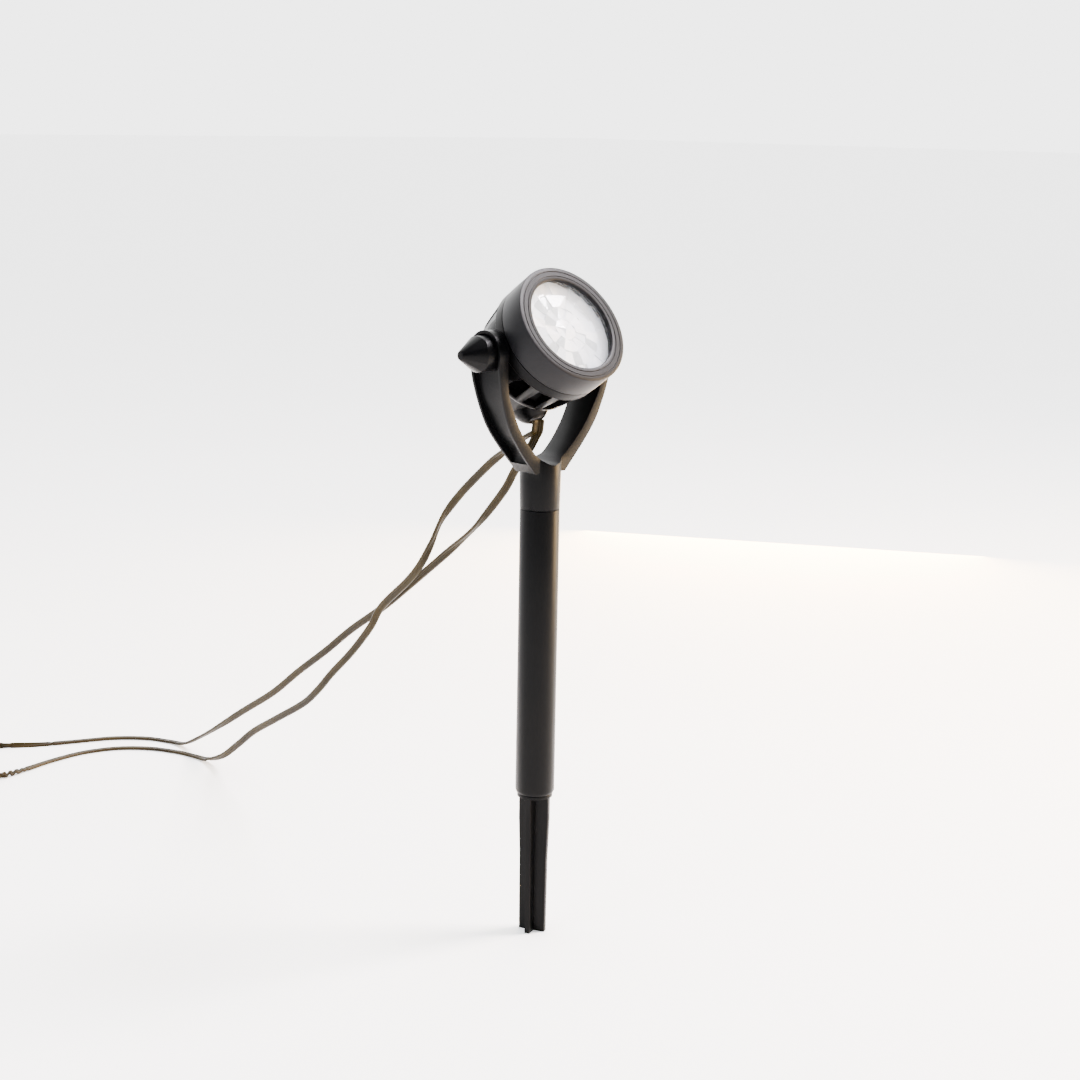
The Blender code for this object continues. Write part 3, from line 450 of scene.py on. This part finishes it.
def turnedPiece(name, outline, steps):
    bpy.ops.object.select_all(action="DESELECT")
    bpy.ops.mesh.primitive_plane_add(size=0.001)
    piece = bpy.context.active_object
    piece.name = name
    bpy.ops.object.mode_set(mode="EDIT")
    bpy.ops.mesh.select_all(action="SELECT")
    bpy.ops.mesh.merge(type="CENTER")
    bpy.ops.transform.translate(value=(outline[0][0] * mm, 0, outline[0][1] * mm))
    for (r0, z0), (r1, z1) in zip(outline, [*outline[1:], outline[0]]):
        bpy.ops.mesh.extrude_vertices_move(
            TRANSFORM_OT_translate={"value": ((r1 - r0) * mm, 0, (z1 - z0) * mm)})
    bpy.ops.mesh.select_all(action="SELECT")
    bpy.ops.mesh.remove_doubles(threshold=0.000001)
    bpy.ops.mesh.select_all(action="SELECT")
    bpy.ops.mesh.spin(steps=steps, angle=2 * math.pi, center=(0, 0, 0), axis=(0, 0, 1))
    bpy.ops.mesh.select_all(action="SELECT")
    bpy.ops.mesh.remove_doubles(threshold=0.000001)
    bpy.ops.mesh.normals_make_consistent(inside=False)
    bpy.ops.object.mode_set(mode="OBJECT")
    return piece


def placeOnHead(piece, body, slotName, *nodes):
    piece.data.transform(headTurn)
    piece.matrix_world = Matrix.Identity(4)
    setFinish(piece, slotFinishes[slotName])
    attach(piece, body)
    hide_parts(*nodes)


bezelOutline = [(30.2, 30.3), (30.35, 30.65), (30.7, 30.8), (32.4, 30.8), (32.5, 30.7), (32.55, 30.4),
                (32.95, 30.4), (33.0, 30.7), (33.1, 30.8), (35.6, 30.8), (35.7, 30.7), (35.75, 30.4),
                (36.15, 30.4), (36.2, 30.7), (36.3, 30.8), (38.3, 30.8), (38.75, 30.6), (39.0, 30.1),
                (39.0, 13.0), (38.8, 12.7), (36.9, 12.7), (36.9, 28.2), (30.2, 28.2)]
bezelSettings = {"steps": 144, "smoothAngle": 30}
bezel = turnedPiece("bezel_ring", bezelOutline, bezelSettings["steps"])
placeOnHead(bezel, "head", "bezel_plastic", "front_bezel")
selectOnly(bezel)
bpy.ops.object.shade_smooth_by_angle(angle=math.radians(bezelSettings["smoothAngle"]))

# the faceted lens: rings of slanting facets, in millimetres, with the tones of its painted glints
lensSettings = {"rings": (0, 7.5, 15.5, 24.5, 33.5), "sectors": (9, 14, 20, 24), "face": 24.2, "back": 20.8,
                "seed": 4, "ringTurn": 0.25, "facetLift": 0.9, "liftFrom": 0.3, "cornerDrop": 1.5,
                "crown": 1.2, "dullShare": 0.13, "dullGlint": 0.05, "leastGlint": 0.35, "backGlint": 0.6,
                "wallGlint": 0.5}


def steadyNoise(a, b):
    value = math.sin(a * 12.9898 + b * 78.233 + lensSettings["seed"]) * 43758.5453
    return value - math.floor(value)


def facetLens(settings):
    verts = []
    faces = []
    glints = []
    rings = settings["rings"]
    for ring, sectors in enumerate(settings["sectors"]):
        inner, outer = rings[ring], rings[ring + 1]
        for sector in range(sectors):
            start = 2 * math.pi * (sector + settings["ringTurn"] * ring) / sectors
            end = 2 * math.pi * (sector + 1 + settings["ringTurn"] * ring) / sectors
            lift = settings["facetLift"] * (steadyNoise(ring, sector) - settings["liftFrom"])
            base = len(verts)
            corners = [(outer, start), (outer, end), (inner, end), (inner, start)]
            if ring == 0:  # the middle facets are triangles
                corners = corners[:3]
            for k, (radius, turn) in enumerate(corners):
                drop = settings["cornerDrop"] * steadyNoise(ring + 7 + k, sector + 3)
                crown = settings["crown"] * (radius / rings[-1]) ** 2
                verts.append((radius * math.cos(turn), radius * math.sin(turn),
                              settings["face"] + lift - drop - crown))
            n = len(corners)
            faces.append(tuple(range(base, base + n)))
            # each facet's painted glint tone, with a share of dark facets; backs and walls get fixed painted
            # tones
            least = settings["leastGlint"]
            glint = least + (1 - least) * steadyNoise(sector * 1.7, ring * 3.1)
            isDull = steadyNoise(ring + 2, sector) <= settings["dullShare"]
            glints.append(settings["dullGlint"] if isDull else glint)
            for x, y, _ in verts[base:base + n]:  # each facet is a little block, closed at its back
                verts.append((x, y, settings["back"]))
            faces.append(tuple(base + n + k for k in reversed(range(n))))
            glints.append(settings["backGlint"])
            for k in range(n):
                after = (k + 1) % n
                faces.append((base + after, base + k, base + n + k, base + n + after))
                glints.append(settings["wallGlint"])
    mesh = bpy.data.meshes.new("lens_facets")
    mesh.from_pydata([Vector(v) * mm for v in verts], [], faces)
    attribute = mesh.attributes.new("facet", "FLOAT", "FACE")
    attribute.data.foreach_set("value", glints)
    lens = bpy.data.objects.new("lens_facets", mesh)
    bpy.context.scene.collection.objects.link(lens)
    selectOnly(lens)
    bpy.ops.object.mode_set(mode="EDIT")
    bpy.ops.mesh.select_all(action="SELECT")
    bpy.ops.mesh.normals_make_consistent(inside=False)
    bpy.ops.object.mode_set(mode="OBJECT")
    return lens


lens = facetLens(lensSettings)
placeOnHead(lens, "pattern_wheel", "facet_plastic", "pattern_lens")
print("head pieces turned")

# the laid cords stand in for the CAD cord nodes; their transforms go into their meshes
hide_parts("supply_cord", "supply_coil", "supply_cord_end", "supply_cord_lead")
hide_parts("link_cord", "link_coil", "link_cord_end", "link_cord_lead")
for cord in (supplyCord, linkCord):
    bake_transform(cord)

floorSettings = {"size": 60, "glow": 0.7, "dark": (0.93, 0.93, 0.93), "light": (0.95, 0.95, 0.95)}
bpy.ops.object.select_all(action="DESELECT")
bpy.ops.mesh.primitive_plane_add(size=floorSettings["size"])
floor = bpy.context.active_object
floor.name = "floor"
floorPaint, floorTree, floorShader = newMaterial("pale_floor", (0.9, 0.9, 0.9), 0.8)
colourFrom(floorTree, floorShader, objectNoise(floorTree, 3), floorSettings["dark"], floorSettings["light"])
floorShader.inputs["Emission Color"].default_value = (1, 1, 1, 1)
floorShader.inputs["Emission Strength"].default_value = floorSettings["glow"]
setFinish(floor, floorPaint)

studioSettings = {"behind": 6.0, "front": 0.12, "backdrop": 4.2, "away": (0.7, 0.7, 0.1),
                  "darkFrom": -0.35, "brightFrom": 0.55}


def studioWorld(settings):
    world = bpy.data.worlds.new("studio")
    world.use_nodes = True
    tree = world.node_tree
    place = tree.nodes.new("ShaderNodeTexCoord")
    facing = tree.nodes.new("ShaderNodeVectorMath")  # how far a direction points past the object
    facing.operation = "DOT_PRODUCT"
    facing.inputs[1].default_value = settings["away"]
    tree.links.new(place.outputs["Generated"], facing.inputs[0])
    spread = tree.nodes.new("ShaderNodeMapRange")
    spread.interpolation_type = "SMOOTHSTEP"
    spread.inputs["From Min"].default_value = settings["darkFrom"]
    spread.inputs["From Max"].default_value = settings["brightFrom"]
    spread.inputs["To Min"].default_value = settings["front"]
    spread.inputs["To Max"].default_value = settings["behind"]
    tree.links.new(facing.outputs["Value"], spread.inputs["Value"])
    path = tree.nodes.new("ShaderNodeLightPath")
    seen = tree.nodes.new("ShaderNodeMix")
    tree.links.new(path.outputs["Is Camera Ray"], seen.inputs["Factor"])
    tree.links.new(spread.outputs["Result"], seen.inputs["A"])
    seen.inputs["B"].default_value = settings["backdrop"]
    background = tree.nodes["Background"]
    background.inputs["Color"].default_value = (1, 1, 1, 1)
    tree.links.new(seen.outputs["Result"], background.inputs["Strength"])
    bpy.context.scene.world = world


studioWorld(studioSettings)

lights = {"left_window": {"place": (-1.9, 0.2, 1.3), "size": 1.1, "power": 40, "colour": (0.8, 0.88, 1.0)},
          "bezel_face": {"place": (0.99, -0.53, 1.92), "size": 0.6, "power": 150, "colour": (1.0, 0.94, 1.0)},
          "warm_right": {"place": (1.5, -0.75, 0.45), "size": 0.9, "power": 130, "colour": (1.0, 0.66, 0.3)},
          "warm_low": {"place": (1.1, 0.7, 0.16), "size": 0.5, "power": 30, "colour": (1.0, 0.62, 0.25)}}
lightTarget = Vector((0, 0, 0.3))
for lightName, settings in lights.items():
    bpy.ops.object.light_add(type="AREA", location=settings["place"])
    lamp = bpy.context.active_object
    lamp.name = lightName
    lamp.data.size = settings["size"]
    lamp.data.energy = settings["power"]
    lamp.data.color = settings["colour"]
    aim = lightTarget - Vector(settings["place"])
    lamp.rotation_euler = aim.to_track_quat("-Z", "Y").to_euler()
print("studio lit")
